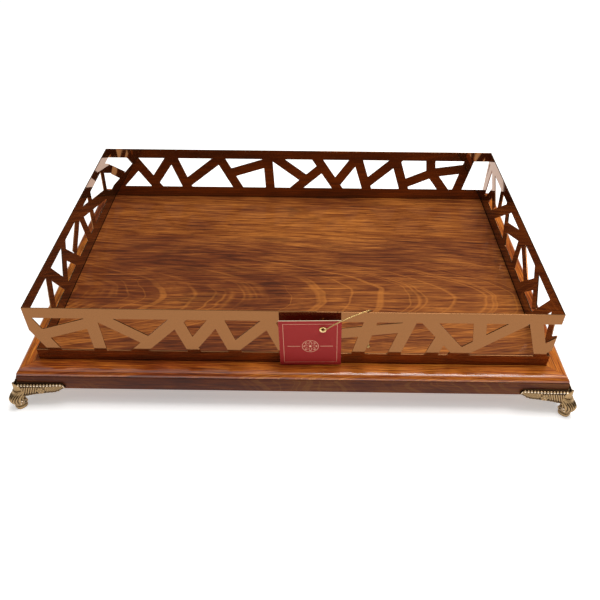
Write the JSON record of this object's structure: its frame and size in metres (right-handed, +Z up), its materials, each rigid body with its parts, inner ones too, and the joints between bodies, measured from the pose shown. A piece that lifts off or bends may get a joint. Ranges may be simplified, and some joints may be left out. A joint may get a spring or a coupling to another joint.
{
  "type": "serving tray",
  "caption": "Rectangular stained-wood tray with a moulded edge, a flared pierced brass gallery, cast leaf-and-scroll feet and a card tag hung over the front rail.",
  "frame": {"origin": "middle of the object's footprint, on the surface the feet stand on", "axes": "+X along the tray's long side, front (the side that carries the tag) towards -Y, +Z up"},
  "size_m": [0.466, 0.328, 0.093],
  "materials": {
    "board_wood": "matt stained board",
    "floor_wood": "glossy lacquer over stained veneer",
    "moulding_wood": "glossy lacquer over dark stain",
    "gallery_brass": "mirror polished sheet",
    "cast_brass": "aged cast",
    "screw_brass": "satin",
    "red_card": "satin laminated print",
    "eyelet_brass": "bright plated",
    "gold_thread": "twisted metallic thread"
  },
  "bodies": {
    "tray": {"base_board": "board_wood", "floor_panel": "floor_wood", "moulding_front": "moulding_wood", "moulding_right": "moulding_wood", "moulding_back": "moulding_wood", "moulding_left": "moulding_wood", "gallery_front": "gallery_brass", "gallery_right": "gallery_brass", "gallery_back": "gallery_brass", "gallery_left": "gallery_brass", "foot_front_left": "cast_brass", "foot_front_right": "cast_brass", "foot_back_right": "cast_brass", "foot_back_left": "cast_brass", "foot_screw_front_left_a": "screw_brass", "foot_screw_front_left_b": "screw_brass", "foot_screw_front_right_a": "screw_brass", "foot_screw_front_right_b": "screw_brass", "foot_screw_back_right_a": "screw_brass", "foot_screw_back_right_b": "screw_brass", "foot_screw_back_left_a": "screw_brass", "foot_screw_back_left_b": "screw_brass", "tag_cord_tail": "gold_thread", "tag_cord_end_knot": "gold_thread"},
    "tag": {"tag_card": "red_card", "tag_eyelet": "eyelet_brass", "tag_cord_run": "gold_thread", "tag_cord_back_knot": "gold_thread"}
  },
  "joints": [
    {"name": "tag_swing", "type": "hinge", "parent": "tray", "child": "tag", "pos_m": [0.0575, -0.1408, 0.0925], "axis": [-1, 0, 0], "range_deg": [0, 60]}
  ]
}
